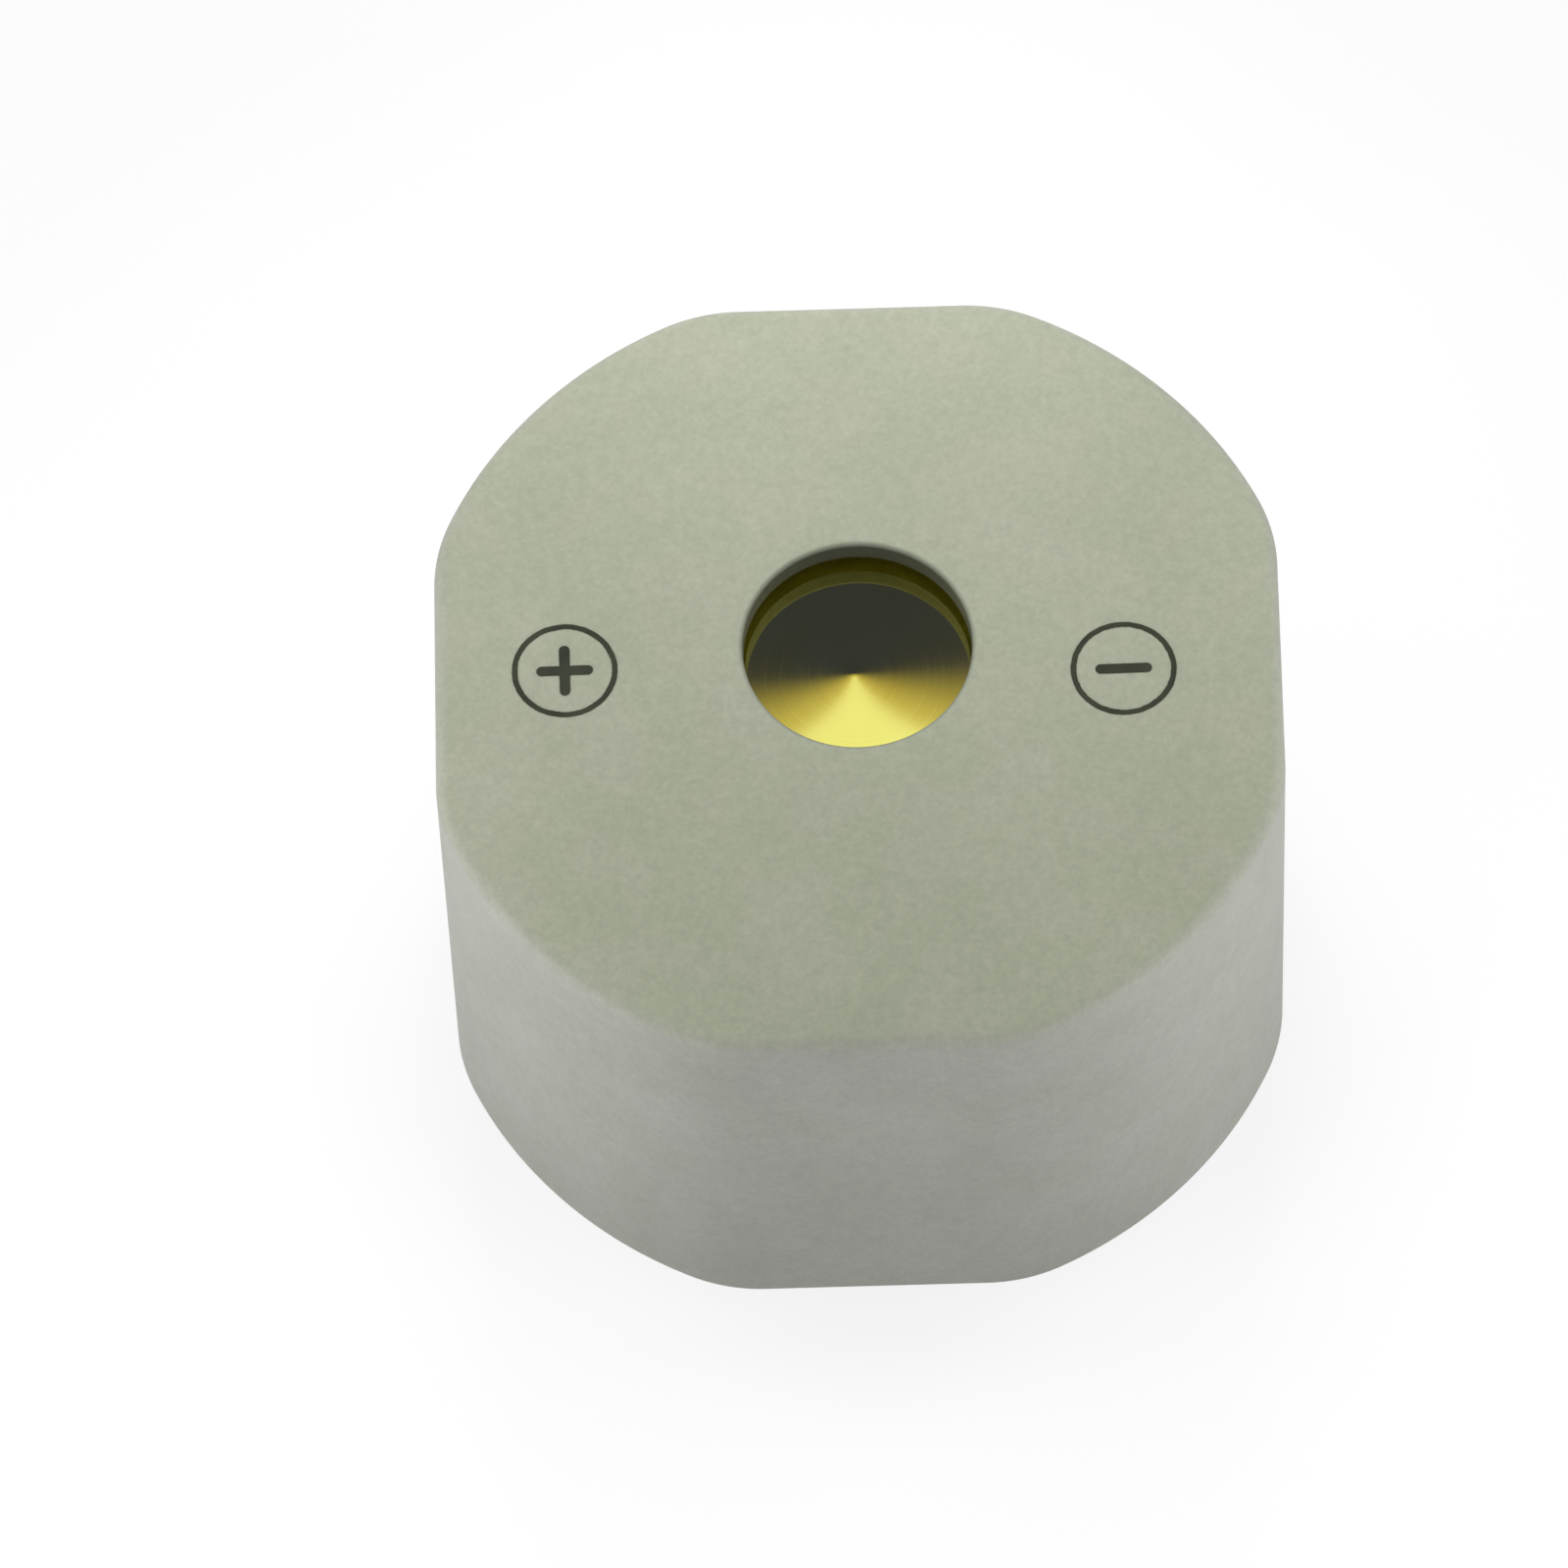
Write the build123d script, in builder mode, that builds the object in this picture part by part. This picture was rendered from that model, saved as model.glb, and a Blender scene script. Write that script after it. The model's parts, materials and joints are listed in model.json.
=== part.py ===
from build123d import *

import os
from math import cos, radians, sin

# Piezo buzzer with its own drive circuit. A moulded cup with four flats holds a brass-backed piezo
# disc below the sound port, a small circuit board behind it, and resin that closes the open end.
# Lengths are millimetres and angles degrees. The origin lies midway between the two pins, on the
# plane that the rim sits on. +Z runs up to the sound port, +X from the positive to the negative pin.

# Housing
across_flats = 23.6
corner_rise = 0.7
body_height = 15.0
corner_blend = 5.0
edge_break = 0.25
side_wall = 1.2
top_wall = 0.7
recess_blend = 0.5
shoulder_width = 0.5
seat_width = 0.8
front_cavity_depth = 0.4
port_diameter = 6.4
port_shift = 0.8
port_break = 0.12

# Piezo disc and the bead that bonds it to its seat
disc_clearance = 0.1
diaphragm_thickness = 0.2
cone_share = 0.46
cone_rise = 0.16
brass_margin = 3.0
ceramic_thickness = 0.22
electrode_margin = 0.5
electrode_thickness = 0.04
tongue_width = 3.0
tongue_length = 4.4
tongue_gap = 0.5
tongue_angle = 217.0
bead_width = 0.8
bead_height = 0.5

# Circuit board, its copper and the resin behind it
board_clearance = 0.1
board_thickness = 1.0
copper_thickness = 0.05
track_width = 0.5
pad_margin = 0.15
resin_recess = 0.4
resin_depth = 4.5

# Terminal pins
pin_inset = 2.6
pin_diameter = 0.8
pin_length = 4.0
pin_point = 0.15
root_diameter = 1.2
stub_height = 1.0
pin_solder_diameter = 2.0
pin_solder_height = 0.7

# Choke
choke_share = 0.297
choke_core_diameter = 2.6
choke_wall_share = 0.198
choke_headroom = 2.0
choke_flange_share = 0.2
winding_inset = 0.35
choke_tab_length = 2.6
choke_tab_width = 1.5
choke_tab_thickness = 0.12
choke_tab_inset = 0.3

# Transistor and diode: moulded packages with bent leads
package_draft = 7.0
lead_thickness = 0.12
foot_length = 0.3
lead_shoulder = 0.1
package_standoff = 0.08
transistor_length = 2.9
transistor_width = 1.3
transistor_height = 0.95
transistor_span = 2.4
transistor_lead_width = 0.42
transistor_lead_pitch = 1.9
transistor_gap = 1.6
diode_length = 2.7
diode_width = 1.6
diode_height = 1.1
diode_span = 3.7
diode_lead_width = 0.6
diode_gap = 1.0
diode_shift = 0.9

# Chip resistors
chip_length = 2.0
chip_width = 1.25
chip_height = 0.5
chip_cap_length = 0.4
part_gap = 0.5
bias_gap = 1.3
bias_shift = 0.5
feedback_gap = 0.6

# Wires from the disc to the board
wire_diameter = 0.45
wire_upright_run = 0.6
joint_diameter = 1.1
joint_tip_diameter = 0.64
joint_height = 0.45
solder_draft = 27.0
drive_joint_share = 0.37
drive_joint_angle = -21.0
drive_pad_share = 0.32
drive_pad_angle = -21.8
ground_joint_angle = -40.0
ground_pad_share = 0.729
ground_pad_angle = -38.7
feedback_joint_share = 0.2
feedback_pad_gap = 0.25
feedback_pad_shift = 1.2

# Radii, from the outside in
flat_half = across_flats / 2
body_radius = flat_half + corner_rise
recess_radius = body_radius - side_wall
recess_half = flat_half - side_wall
bore_radius = recess_half - shoulder_width
diaphragm_radius = bore_radius - disc_clearance
cavity_radius = diaphragm_radius - seat_width
cone_radius = cone_share * diaphragm_radius
ceramic_radius = diaphragm_radius - brass_margin
electrode_radius = ceramic_radius - electrode_margin
bead_radius = bore_radius - bead_width
root_radius = root_diameter / 2
choke_radius = choke_share * bore_radius
pin_reach = bore_radius - pin_inset

# Levels, from the rim up
resin_top = resin_recess + resin_depth
board_top = resin_top + board_thickness
copper_top = board_top + copper_thickness
cavity_top = body_height - top_wall
seat_level = cavity_top - front_cavity_depth
diaphragm_bottom = seat_level - diaphragm_thickness
ceramic_bottom = diaphragm_bottom - ceramic_thickness
electrode_bottom = ceramic_bottom - electrode_thickness
choke_base = copper_top + choke_tab_thickness
choke_height = electrode_bottom - choke_headroom - choke_base
transistor_middle = package_standoff + transistor_height / 2
diode_middle = package_standoff + diode_height / 2

# Places on the board: the choke stands at the back and the rest follows in front of it
choke_y = bore_radius * (1 - choke_wall_share) - choke_radius
choke_tab_x = choke_radius - choke_tab_inset - choke_tab_width / 2
damping_y = choke_y - choke_radius - part_gap - chip_width / 2
transistor_y = damping_y - chip_width / 2 - transistor_gap - transistor_span / 2
diode_x = -(choke_radius + diode_gap + diode_width / 2)
diode_y = choke_y - diode_shift
bias_x = -(transistor_length / 2 + bias_gap + chip_width / 2)
bias_y = transistor_y + bias_shift
feedback_y = transistor_y - transistor_span / 2 - feedback_gap - chip_width / 2


def polar(radius, angle):
    """Point at this radius and angle round the body's axis."""
    return (radius * cos(radians(angle)), radius * sin(radians(angle)))


def upright(x, y, z):
    """Plane that stands on edge at a point, with X across it and Z up it."""
    return Plane(origin=(x, y, z), x_dir=(1, 0, 0), z_dir=(0, -1, 0))


def four_flat_outline(level, round_radius, half_width, blend):
    """Circle cut by four flats, with each corner blended, drawn at one level."""
    with BuildSketch(Plane.XY.offset(level)) as outline:
        Circle(round_radius)
        Rectangle(2 * half_width, 2 * half_width, mode=Mode.INTERSECT)
        fillet(outline.vertices(), radius=blend)
    return outline.sketch


def tongue_outline(level, margin):
    """Feedback tongue with a round inner end, grown by a margin, drawn at one level."""
    half_width = tongue_width / 2 + margin
    inner = electrode_radius - tongue_length + tongue_width / 2
    reach = electrode_radius + tongue_width
    slot = Plane.XY.offset(level).rotated((0, 0, tongue_angle))
    with BuildSketch(slot) as tongue:
        with Locations((inner, 0)):
            Circle(half_width)
            Rectangle(reach - inner, 2 * half_width, align=(Align.MIN, Align.CENTER))
    return tongue.sketch


def bent_lead(foot, outward, exit_half, span_half, exit_height):
    """Side profile of one lead: out of the package, down and along the pad, as a strip."""
    side = Plane(origin=foot, x_dir=outward, z_dir=Vector(*outward).cross(Vector(0, 0, 1)))
    middle = lead_thickness / 2
    knee = exit_half + lead_shoulder + middle
    heel = span_half - foot_length
    with BuildSketch(side) as profile:
        with BuildLine():
            Polyline((exit_half, exit_height), (knee, exit_height), (heel, middle), (span_half, middle))
        trace(line_width=lead_thickness)
    return profile.sketch


def finish(piece, node):
    """Label a piece and write it to its own file."""
    piece.part.label = node
    export_step(piece.part, f"parts/{node}.step")


# Points of the circuit, seen from above
pin_places = [(-pin_reach, 0), (pin_reach, 0)]
chip_reach = (chip_length - chip_cap_length) / 2
foot_reach = (transistor_span - foot_length) / 2
diode_reach = (diode_span - foot_length) / 2
positive_place, negative_place = pin_places
choke_left = (-choke_tab_x, choke_y)
choke_right = (choke_tab_x, choke_y)
damping_left = (-chip_reach, damping_y)
damping_right = (chip_reach, damping_y)
bias_back = (bias_x, bias_y + chip_reach)
bias_front = (bias_x, bias_y - chip_reach)
feedback_inner = (bias_x + chip_reach, feedback_y)
feedback_outer = (bias_x - chip_reach, feedback_y)
collector = (0, transistor_y + foot_reach)
base = (-transistor_lead_pitch / 2, transistor_y - foot_reach)
emitter = (transistor_lead_pitch / 2, transistor_y - foot_reach)
anode = (diode_x, diode_y - diode_reach)
cathode = (diode_x, diode_y + diode_reach)
supply_corner = (-choke_tab_x, damping_y)
output_corner = (choke_tab_x, damping_y)
drive_joint = polar(electrode_radius * drive_joint_share, drive_joint_angle)
drive_pad = polar(bore_radius * drive_pad_share, drive_pad_angle)
feedback_joint = polar(electrode_radius - tongue_length * feedback_joint_share, tongue_angle)
feedback_pad = (
    bias_x - chip_length / 2 - feedback_pad_gap - joint_diameter / 2,
    feedback_y + feedback_pad_shift,
)
ground_joint = polar((ceramic_radius + bead_radius) / 2, ground_joint_angle)
ground_pad = polar(bore_radius * ground_pad_share, ground_pad_angle)

# Tracks, net by net: supply in, supply, output, base, feedback, ground
track_runs = [
    (positive_place, anode),
    (cathode, choke_left, supply_corner, damping_left),
    (supply_corner, bias_back),
    (choke_right, output_corner, damping_right),
    (output_corner, drive_pad),
    (drive_pad, collector),
    (bias_front, base),
    (base, feedback_inner),
    (feedback_outer, feedback_pad),
    (emitter, ground_pad),
    (ground_pad, negative_place),
]
square_pads = [
    ((pin_solder_diameter, pin_solder_diameter), pin_places),
    ((choke_tab_width, choke_tab_length), (choke_left, choke_right)),
    ((diode_lead_width, foot_length), (anode, cathode)),
    ((transistor_lead_width, foot_length), (collector, base, emitter)),
    ((chip_width, chip_cap_length), (bias_back, bias_front)),
    ((chip_cap_length, chip_width), (damping_left, damping_right, feedback_inner, feedback_outer)),
    ((joint_diameter, joint_diameter), (drive_pad, feedback_pad, ground_pad)),
]
chip_seats = {
    "bias_resistor": Plane(origin=(bias_x, bias_y, copper_top), x_dir=(0, 1, 0)),
    "feedback_resistor": Plane(origin=(bias_x, feedback_y, copper_top), x_dir=(1, 0, 0)),
    "damping_resistor": Plane(origin=(0, damping_y, copper_top), x_dir=(1, 0, 0)),
}
wire_ends = {
    "drive_lead": (drive_joint, electrode_bottom, drive_pad),
    "feedback_lead": (feedback_joint, electrode_bottom, feedback_pad),
    "ground_lead": (ground_joint, diaphragm_bottom, ground_pad),
}
choke_axis = Axis((0, choke_y, 0), (0, 0, 1))
standing = (Align.CENTER, Align.CENTER, Align.MIN)

os.makedirs("parts", exist_ok=True)

# Housing: one moulding, open below, with a stepped bore up to the sound port
with BuildPart() as housing:
    extrude(four_flat_outline(0, body_radius, flat_half, corner_blend), amount=body_height)
    chamfer(housing.edges().group_by(Axis.Z)[-1], length=edge_break)
    chamfer(housing.edges().group_by(Axis.Z)[0], length=edge_break)
    extrude(
        four_flat_outline(0, recess_radius, recess_half, recess_blend),
        amount=board_top,
        mode=Mode.SUBTRACT,
    )
    with BuildSketch(Plane.XY.offset(board_top)):
        Circle(bore_radius)
    extrude(amount=seat_level - board_top, mode=Mode.SUBTRACT)
    with BuildSketch(Plane.XY.offset(seat_level)):
        Circle(cavity_radius)
    extrude(amount=front_cavity_depth, mode=Mode.SUBTRACT)
    with BuildSketch(Plane.XY.offset(body_height)):
        with Locations((0, port_shift)):
            Circle(port_diameter / 2)
    extrude(amount=-top_wall, mode=Mode.SUBTRACT)
    chamfer(housing.faces().sort_by(Axis.Z)[-1].inner_wires()[0].edges(), length=port_break)
finish(housing, "housing")

# Piezo disc: brass with a shallow cone in front, ceramic, and the two parts of its silver electrode
with BuildPart() as diaphragm:
    with BuildSketch(Plane.XZ):
        with BuildLine():
            Polyline(
                (0, diaphragm_bottom),
                (diaphragm_radius, diaphragm_bottom),
                (diaphragm_radius, seat_level),
                (cone_radius, seat_level),
                (0, seat_level + cone_rise),
                close=True,
            )
        make_face()
    revolve(axis=Axis.Z)
finish(diaphragm, "diaphragm")

with BuildPart() as ceramic_disc:
    with BuildSketch(Plane.XY.offset(ceramic_bottom)):
        Circle(ceramic_radius)
    extrude(amount=ceramic_thickness)
finish(ceramic_disc, "ceramic_disc")

with BuildPart() as drive_electrode:
    with BuildSketch(Plane.XY.offset(electrode_bottom)):
        Circle(electrode_radius)
    extrude(amount=electrode_thickness)
    extrude(tongue_outline(electrode_bottom, tongue_gap), amount=electrode_thickness, mode=Mode.SUBTRACT)
finish(drive_electrode, "drive_electrode")

with BuildPart() as feedback_electrode:
    with BuildSketch(Plane.XY.offset(electrode_bottom)):
        Circle(electrode_radius)
    extrude(amount=electrode_thickness)
    extrude(tongue_outline(electrode_bottom, 0), amount=electrode_thickness, mode=Mode.INTERSECT)
finish(feedback_electrode, "feedback_electrode")

# Bead of silicone in the corner between the brass and the bore
with BuildPart() as bond_ring:
    with BuildSketch(Plane.XZ):
        with BuildLine():
            Polyline(
                (bead_radius, diaphragm_bottom),
                (bore_radius, diaphragm_bottom),
                (bore_radius, diaphragm_bottom - bead_height),
                close=True,
            )
        make_face()
    revolve(axis=Axis.Z)
finish(bond_ring, "bond_ring")

# Circuit board, seated against the shoulder of the housing
with BuildPart() as circuit_board:
    board_radius = recess_radius - board_clearance
    board_half = recess_half - board_clearance
    extrude(four_flat_outline(resin_top, board_radius, board_half, recess_blend), amount=board_thickness)
    with BuildSketch(Plane.XY.offset(resin_top)):
        with Locations(*pin_places):
            Circle(root_radius)
    extrude(amount=board_thickness, mode=Mode.SUBTRACT)
finish(circuit_board, "circuit_board")

# Copper: one solid for each net, made of straight tracks and the pads that they join
with BuildPart() as copper_tracks:
    with BuildSketch(Plane.XY.offset(board_top)):
        for run in track_runs:
            with BuildLine():
                Polyline(*run)
            trace(line_width=track_width)
        for size, places in square_pads:
            with Locations(*places):
                Rectangle(size[0] + 2 * pad_margin, size[1] + 2 * pad_margin)
        with Locations(*pin_places):
            Circle(root_radius, mode=Mode.SUBTRACT)
    extrude(amount=copper_thickness)
finish(copper_tracks, "copper_tracks")

# Choke: ferrite drum with its winding, on two solder tabs
with BuildPart() as choke_core:
    flange = choke_flange_share * choke_height
    core_radius = choke_core_diameter / 2
    window = choke_height - 2 * flange
    with BuildSketch(upright(0, choke_y, choke_base)):
        Rectangle(choke_radius, choke_height, align=Align.MIN)
        with Locations((core_radius, flange)):
            Rectangle(choke_radius - core_radius, window, align=Align.MIN, mode=Mode.SUBTRACT)
    revolve(axis=choke_axis)
finish(choke_core, "choke_core")

with BuildPart() as choke_winding:
    with BuildSketch(upright(0, choke_y, choke_base)):
        with Locations((core_radius, flange)):
            Rectangle(choke_radius - winding_inset - core_radius, window, align=Align.MIN)
    revolve(axis=choke_axis)
finish(choke_winding, "choke_winding")

with BuildPart() as choke_terminals:
    with BuildSketch(Plane.XY.offset(copper_top)):
        with Locations(choke_left, choke_right):
            Rectangle(choke_tab_width, choke_tab_length)
    extrude(amount=choke_tab_thickness)
finish(choke_terminals, "choke_terminals")

# Transistor and diode: each body widens to its middle, where the leads come out
with BuildPart() as transistor:
    with BuildSketch(Plane((0, transistor_y, copper_top + transistor_middle))):
        Rectangle(transistor_length, transistor_width)
    extrude(amount=transistor_height / 2, both=True, taper=package_draft)
finish(transistor, "transistor")

with BuildPart() as transistor_leads:
    for x, outward in ((0, 1), (-transistor_lead_pitch / 2, -1), (transistor_lead_pitch / 2, -1)):
        strip = bent_lead(
            foot=(x, transistor_y, copper_top),
            outward=(0, outward, 0),
            exit_half=transistor_width / 2,
            span_half=transistor_span / 2,
            exit_height=transistor_middle,
        )
        extrude(strip, amount=transistor_lead_width / 2, both=True)
finish(transistor_leads, "transistor_leads")

with BuildPart() as diode:
    with BuildSketch(Plane((diode_x, diode_y, copper_top + diode_middle))):
        Rectangle(diode_width, diode_length)
    extrude(amount=diode_height / 2, both=True, taper=package_draft)
finish(diode, "diode")

with BuildPart() as diode_leads:
    for outward in (1, -1):
        strip = bent_lead(
            foot=(diode_x, diode_y, copper_top),
            outward=(0, outward, 0),
            exit_half=diode_length / 2,
            span_half=diode_span / 2,
            exit_height=diode_middle,
        )
        extrude(strip, amount=diode_lead_width / 2, both=True)
finish(diode_leads, "diode_leads")

# Chip resistors: a ceramic body between two metal end caps
for node, seat in chip_seats.items():
    with BuildPart() as chip:
        with BuildSketch(seat):
            Rectangle(chip_length - 2 * chip_cap_length, chip_width)
        extrude(amount=chip_height)
    finish(chip, node)

with BuildPart() as resistor_end_caps:
    for seat in chip_seats.values():
        with BuildSketch(seat):
            with Locations((chip_reach, 0), (-chip_reach, 0)):
                Rectangle(chip_cap_length, chip_width)
    extrude(amount=chip_height)
finish(resistor_end_caps, "resistor_end_caps")

# Wires: upright at both joints, with a slanting run between them
for node, (joint, level, pad) in wire_ends.items():
    wire_top = level - joint_height
    wire_bottom = copper_top + joint_height
    with BuildPart() as wire:
        with BuildLine():
            Polyline(
                (*joint, wire_top),
                (*joint, wire_top - wire_upright_run),
                (*pad, wire_bottom + wire_upright_run),
                (*pad, wire_bottom),
            )
        with BuildSketch(Plane((*joint, wire_top))):
            Circle(wire_diameter / 2)
        sweep(transition=Transition.RIGHT)
    finish(wire, node)

# Solder: a blunt cone on the disc and a blunt heap on the pad for each wire, and a cone round each pin
with BuildPart() as element_solder:
    for joint, level, pad in wire_ends.values():
        with Locations((*joint, level - joint_height)):
            Cone(joint_tip_diameter / 2, joint_diameter / 2, joint_height, align=standing)
finish(element_solder, "element_solder")

with BuildPart() as board_solder:
    for joint, level, pad in wire_ends.values():
        with BuildSketch(Plane((*pad, copper_top))):
            Rectangle(joint_diameter, joint_diameter)
        extrude(amount=joint_height, taper=solder_draft)
finish(board_solder, "board_solder")

with BuildPart() as pin_solder:
    for pin_x, pin_y in pin_places:
        with BuildSketch(upright(pin_x, pin_y, copper_top)):
            with BuildLine():
                Polyline(
                    (root_radius, 0),
                    (pin_solder_diameter / 2, 0),
                    (root_radius, pin_solder_height),
                    close=True,
                )
            make_face()
        revolve(axis=Axis((pin_x, pin_y, 0), (0, 0, 1)))
finish(pin_solder, "pin_solder")

# Pins: a thin leg below the rim and a thicker root that stands in the resin and through the board
for node, (pin_x, pin_y) in zip(("positive_pin", "negative_pin"), pin_places):
    with BuildPart() as pin:
        with BuildSketch(upright(pin_x, pin_y, 0)):
            with BuildLine():
                Polyline(
                    (0, -pin_length),
                    (pin_diameter / 2 - pin_point, -pin_length),
                    (pin_diameter / 2, pin_point - pin_length),
                    (pin_diameter / 2, 0),
                    (root_radius, 0),
                    (root_radius, board_top + stub_height),
                    (0, board_top + stub_height),
                    close=True,
                )
            make_face()
        revolve(axis=Axis((pin_x, pin_y, 0), (0, 0, 1)))
    finish(pin, node)

# Resin: fills the open end up to the board, round the roots of the pins
with BuildPart() as potting_resin:
    extrude(
        four_flat_outline(resin_recess, recess_radius, recess_half, recess_blend),
        amount=resin_depth,
    )
    with BuildSketch(Plane.XY.offset(resin_recess)):
        with Locations(*pin_places):
            Circle(root_radius)
    extrude(amount=resin_depth, mode=Mode.SUBTRACT)
finish(potting_resin, "potting_resin")
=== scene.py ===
import json
from math import atan2, cos, pi, radians, sin, sqrt

import bpy
import numpy as np
from mathutils import Matrix, Vector


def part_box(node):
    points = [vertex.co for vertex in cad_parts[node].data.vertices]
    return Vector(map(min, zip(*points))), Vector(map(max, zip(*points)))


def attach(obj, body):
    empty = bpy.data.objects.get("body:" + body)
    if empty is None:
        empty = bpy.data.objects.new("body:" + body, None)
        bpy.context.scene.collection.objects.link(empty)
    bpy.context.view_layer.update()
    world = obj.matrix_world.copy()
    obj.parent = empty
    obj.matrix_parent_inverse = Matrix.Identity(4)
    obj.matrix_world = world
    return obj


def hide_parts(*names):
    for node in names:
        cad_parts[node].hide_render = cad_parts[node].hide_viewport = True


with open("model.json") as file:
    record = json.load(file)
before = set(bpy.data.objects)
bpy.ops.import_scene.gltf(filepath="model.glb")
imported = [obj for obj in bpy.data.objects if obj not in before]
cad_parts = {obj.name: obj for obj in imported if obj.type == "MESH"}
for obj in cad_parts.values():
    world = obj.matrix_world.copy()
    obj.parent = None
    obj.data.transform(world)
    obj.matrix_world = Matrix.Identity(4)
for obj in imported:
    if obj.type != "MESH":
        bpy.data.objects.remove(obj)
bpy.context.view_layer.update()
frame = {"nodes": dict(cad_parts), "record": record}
MM = 0.001
MICRON = 0.000001

# Sizes in millimetres: those of the solids come from the frame, and the rest are named here


def span(node):
    """Lowest and highest corner of a solid, in millimetres."""
    low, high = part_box(node)
    return np.array(low) / MM, np.array(high) / MM


housing_high = span("housing")[1]
board_high = span("circuit_board")[1]
brass_low, brass_high = span("diaphragm")
resin_low, resin_high = span("potting_resin")
winding_low, winding_high = span("choke_winding")
bead_low, bead_high = span("bond_ring")
pin_spans = {node: span(node) for node in ("positive_pin", "negative_pin")}
pin_places = {node: float((low[0] + high[0]) / 2) for node, (low, high) in pin_spans.items()}
floor_level = pin_spans["negative_pin"][0][2]

# Housing
flat_cut = 0.7
side_wall = 1.2
top_wall = 0.7
seat_width = 0.8
corner_blend = 5.0
recess_blend = 0.5
edge_round = 0.35
rim_round = 0.3
port_radius = 3.2
port_shift = 0.8
port_round = 0.14
port_step = 0.02
cone_rise = 0.16
body_height = housing_high[2]
flat_half = housing_high[0]
body_radius = flat_half + flat_cut
body_outline = (body_radius, flat_half, corner_blend)
recess_outline = (body_radius - side_wall, flat_half - side_wall, recess_blend)
bore_radius = bead_high[0]
cavity_radius = brass_high[0] - seat_width
cavity_top = body_height - top_wall
seat_level = brass_high[2] - cone_rise
shoulder_level = board_high[2]

# Shares of the way at which rings lie on the top and the wall, with one close to each edge, so that the
# edge's rounding doesn't shade the flat beside it
top_shares = np.concatenate([[0.004], np.linspace(0.04, 0.96, 24), [0.997]])
wall_shares = np.concatenate([[0.004], np.linspace(0.05, 0.95, 12), [0.996]])

# How far the inside's painted shade takes over in the hollow, and how fast it fades over the port's lip
hollow_painted_shade = 0.7
lip_shade_fade = 1.2

# Brass disc
brass_edge = 0.04
brass_columns = 240
brass_below_shares = np.array([0.05, 0.3, 0.6, 0.9, 0.99])
brass_flat_radii = (8.0, 6.0)
cone_foot = 4.6
cone_tip_ring = 0.03
cone_rings = 60
tip_place = (-0.11, 0.4)

# Pins
pin_columns = 64
pin_radius = 0.4
root_radius = 0.6
pin_tip_round = 0.22
pin_pole = 0.02
pin_end_chamfer = 0.08
fillet_height = 0.06
fillet_share = 0.5
leg_rings, leg_ends = 6, (0.4, 0.1)
root_rings, root_ends = 5, (0.1, 0.09)

# Resin
resin_steps = (16, 10, 24)
resin_pole_share = 0.01
resin_face_shares = np.concatenate([
    [resin_pole_share], np.linspace(0.05, 0.9, 60), 1 - 0.1 * np.linspace(0.9, 0, 14) ** 1.5,
])
resin_back_shares = (1.0, 0.6, 0.3, resin_pole_share)
wall_climb, wall_fade = 0.22, 0.45
pin_climb, pin_fade = 0.14, 0.35
wave_height = 0.015
wave_runs = ((0.9, 0.4, 0.0), (0.5, -1.1, 1.0))

# Winding and bead
winding_core = 1.3
winding_columns = 120
wire_pitch = 0.2
rings_per_turn = 16
bead_width = 0.8
bead_bow = 0.12
bead_lean = 0.5
bead_columns = 160
bead_rings = 14

# Printed signs
ink_rise = 0.012
ink_sink = 0.004
sign_columns = 480
sign_ring_radius = 1.475
sign_stroke = 0.155
bar_half_length = 0.79
bar_half_width = 0.15
outer_waves, inner_waves, bar_waves = 0.01, 0.014, 0.008
print_turn = radians(0.5)
sign_places = {"plus": (-8.17, 0.23), "minus": (7.40, -0.19)}
sign_arms = {"plus": (0.0, pi / 2), "minus": (0.0,)}

# Meshes: every new piece is a grid of points, worked out as whole arrays

sharp_angle = radians(35.0)


def shown(name, data):
    """New object of the scene that holds the given data."""
    made = bpy.data.objects.new(name, data)
    bpy.context.scene.collection.objects.link(made)
    return made


def surface(name, grid, wrap_rows=False):
    """Mesh of a grid of points (rows, columns, xyz in millimetres). Each row is a closed ring. The rows
    also close on themselves if wrap_rows is true, and otherwise the first and last are closed by a fan. The
    faces are turned over if the volume that they enclose comes out negative."""
    rows, columns = grid.shape[:2]
    here = np.arange(rows * columns).reshape(rows, columns)
    beside = np.roll(here, -1, axis=1)
    quads = np.stack([here, beside, np.roll(beside, -1, axis=0), np.roll(here, -1, axis=0)], axis=-1)
    points = grid.reshape(-1, 3)
    faces = quads[: rows if wrap_rows else rows - 1].reshape(-1, 4)
    fans = np.zeros((0, 3), int)
    if not wrap_rows:
        ends = np.arange(2) + len(points)
        points = np.concatenate([points, grid[[0, -1]].mean(axis=1)])
        first = np.stack([beside[0], here[0], np.full(columns, ends[0])], axis=-1)
        last = np.stack([here[-1], beside[-1], np.full(columns, ends[1])], axis=-1)
        fans = np.concatenate([first, last])
    corners = np.concatenate([points[faces[:, [0, 1, 2]]], points[faces[:, [0, 2, 3]]], points[fans]])
    if np.einsum("ij,ij->", corners[:, 0], np.cross(corners[:, 1], corners[:, 2])) < 0:
        faces, fans = faces[:, ::-1], fans[:, ::-1]
    mesh = bpy.data.meshes.new(name)
    mesh.from_pydata((points * MM).tolist(), [], faces.tolist() + fans.tolist())
    mesh.polygons.foreach_set("use_smooth", np.ones(len(mesh.polygons), bool))
    mesh.set_sharp_from_angle(angle=sharp_angle)
    mesh.update()
    return shown(name, mesh)


def full_turn(count, start=0.0):
    """Angles in even steps round a full turn, the first by the start's share of a step from 0."""
    return (np.arange(count) + start) * 2 * pi / count


def quarter_turn(count):
    """Sine and cosine along a quarter circle, from 0 to 90 degrees."""
    turn = np.linspace(0, pi / 2, count)
    return np.sin(turn), np.cos(turn)


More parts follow.
